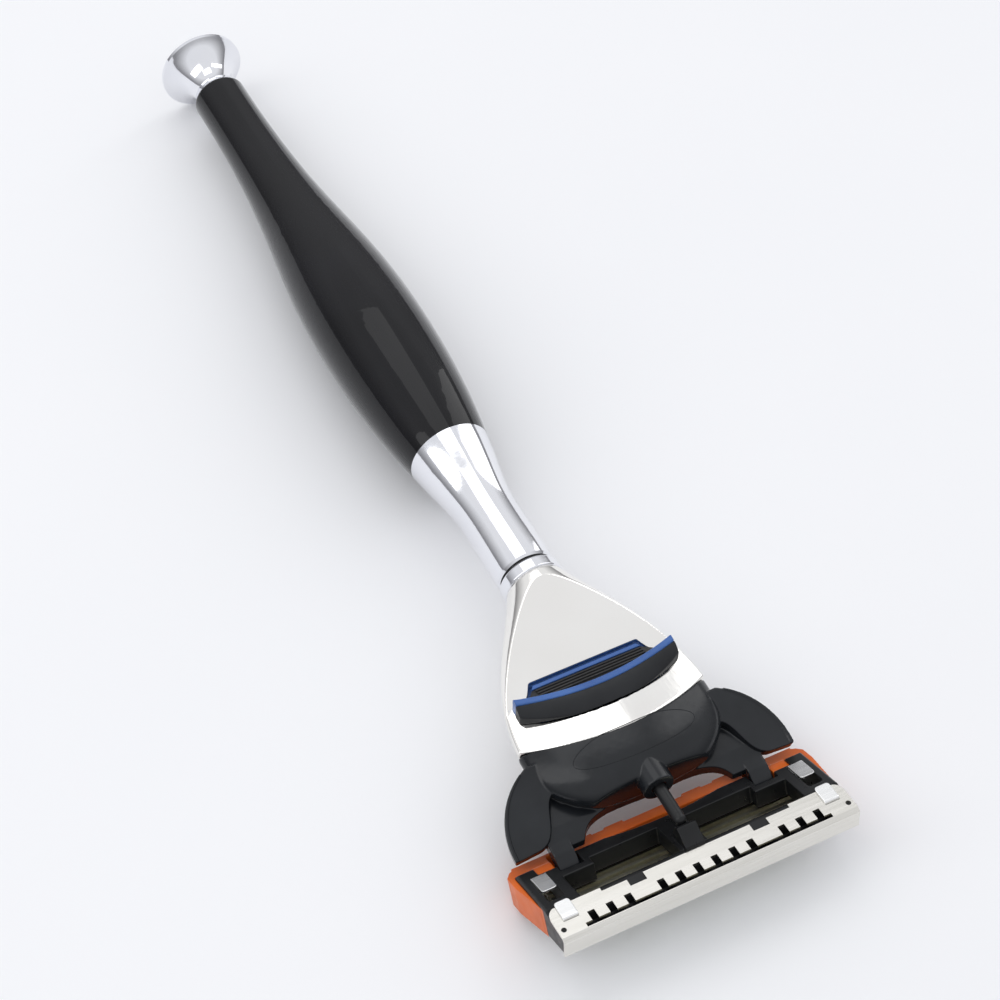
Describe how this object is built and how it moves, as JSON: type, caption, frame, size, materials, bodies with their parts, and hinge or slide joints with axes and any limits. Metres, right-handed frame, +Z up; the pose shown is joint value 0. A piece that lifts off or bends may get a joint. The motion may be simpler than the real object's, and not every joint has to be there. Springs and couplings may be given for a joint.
{
  "type": "cartridge razor",
  "caption": "Manual cartridge razor: turned black resin grip with polished metal pommel, collar and flared head, a slide button, and a pivoting multi-blade cartridge on a winged yoke.",
  "frame": {"origin": "bottom centre of the bounding box, on the surface that the pommel rim and the guard rest on", "axes": "+X along the cartridge, +Y from the cartridge towards the pommel, +Z up; the razor lies blades down with the release button up"},
  "size_m": [0.0428, 0.1626, 0.0168],
  "materials": {
    "chrome": "polished",
    "nickel": "polished nickel",
    "resin": "polished black resin",
    "steel": "ground",
    "rubber": "matt",
    "dark_plastic": "satin",
    "black_plastic": "fine spark texture",
    "blue_plastic": "satin",
    "orange_plastic": "satin",
    "aluminium": "satin",
    "trimmer_steel": "satin",
    "strip": "waxy"
  },
  "bodies": {
    "handle": {"pommel": "chrome", "tie_rod": "steel", "grip": "resin", "collar": "chrome", "collar_o_ring": "rubber", "neck_ring": "chrome", "head_shell": "nickel", "nose_insert": "black_plastic", "insert_screw": "steel", "button_spring": "steel", "plunger_spring": "steel"},
    "button": {"button_core": "blue_plastic", "button_front": "black_plastic", "button_pad": "rubber", "ejector": "black_plastic"},
    "plunger": {"plunger": "black_plastic"},
    "yoke": {"yoke": "dark_plastic"},
    "cartridge": {"housing": "black_plastic", "guard_frame": "orange_plastic", "guard_fins": "rubber", "lubricating_strip": "strip", "clip_left": "aluminium", "clip_right": "aluminium", "trimmer_cover": "trimmer_steel", "trimmer_blade": "steel"},
    "blade_1": {"blade_1": "steel", "blade_support_1": "steel"},
    "blade_2": {"blade_2": "steel", "blade_support_2": "steel"},
    "blade_3": {"blade_3": "steel", "blade_support_3": "steel"},
    "blade_4": {"blade_4": "steel", "blade_support_4": "steel"},
    "blade_5": {"blade_5": "steel", "blade_support_5": "steel"}
  },
  "joints": [
    {"name": "button_slide", "type": "slide", "parent": "handle", "child": "button", "axis": [0, -0.9993, 0.0362], "range_m": [0, 0.003], "stiffness_N_per_m": 800, "springref_m": -0.002, "deforming": ["button_spring"]},
    {"name": "cartridge_release", "type": "slide", "parent": "handle", "child": "yoke", "axis": [0, -0.9993, 0.0362], "range_m": [0, 0.0141]},
    {"name": "cartridge_pivot", "type": "hinge", "parent": "yoke", "child": "cartridge", "pos_m": [0, -0.06937, 0.00501], "axis": [-1, 0, 0], "range_deg": [0, 35], "stiffness_Nm_per_rad": 0.012, "springref_deg": -28.65},
    {"name": "plunger_slide", "type": "slide", "parent": "handle", "child": "plunger", "axis": [0, 0.9993, -0.0362], "range_m": [0, 0.004], "deforming": ["plunger_spring"]},
    {"name": "blade_1_float", "type": "slide", "parent": "cartridge", "child": "blade_1", "axis": [0, 0.4798, 0.8774], "range_m": [0, 0.00025], "stiffness_N_per_m": 300, "springref_m": -0.0003},
    {"name": "blade_2_float", "type": "slide", "parent": "cartridge", "child": "blade_2", "axis": [0, 0.4798, 0.8774], "range_m": [0, 0.00025], "stiffness_N_per_m": 300, "springref_m": -0.0003},
    {"name": "blade_3_float", "type": "slide", "parent": "cartridge", "child": "blade_3", "axis": [0, 0.4798, 0.8774], "range_m": [0, 0.00025], "stiffness_N_per_m": 300, "springref_m": -0.0003},
    {"name": "blade_4_float", "type": "slide", "parent": "cartridge", "child": "blade_4", "axis": [0, 0.4798, 0.8774], "range_m": [0, 0.00025], "stiffness_N_per_m": 300, "springref_m": -0.0003},
    {"name": "blade_5_float", "type": "slide", "parent": "cartridge", "child": "blade_5", "axis": [0, 0.4798, 0.8774], "range_m": [0, 0.00025], "stiffness_N_per_m": 300, "springref_m": -0.0003}
  ],
  "couplings": [
    {"joint": "cartridge_release", "follows": "button_slide", "ratio": 4.7},
    {"joint": "plunger_slide", "follows": "cartridge_pivot", "m_per_rad": 0.0062}
  ]
}
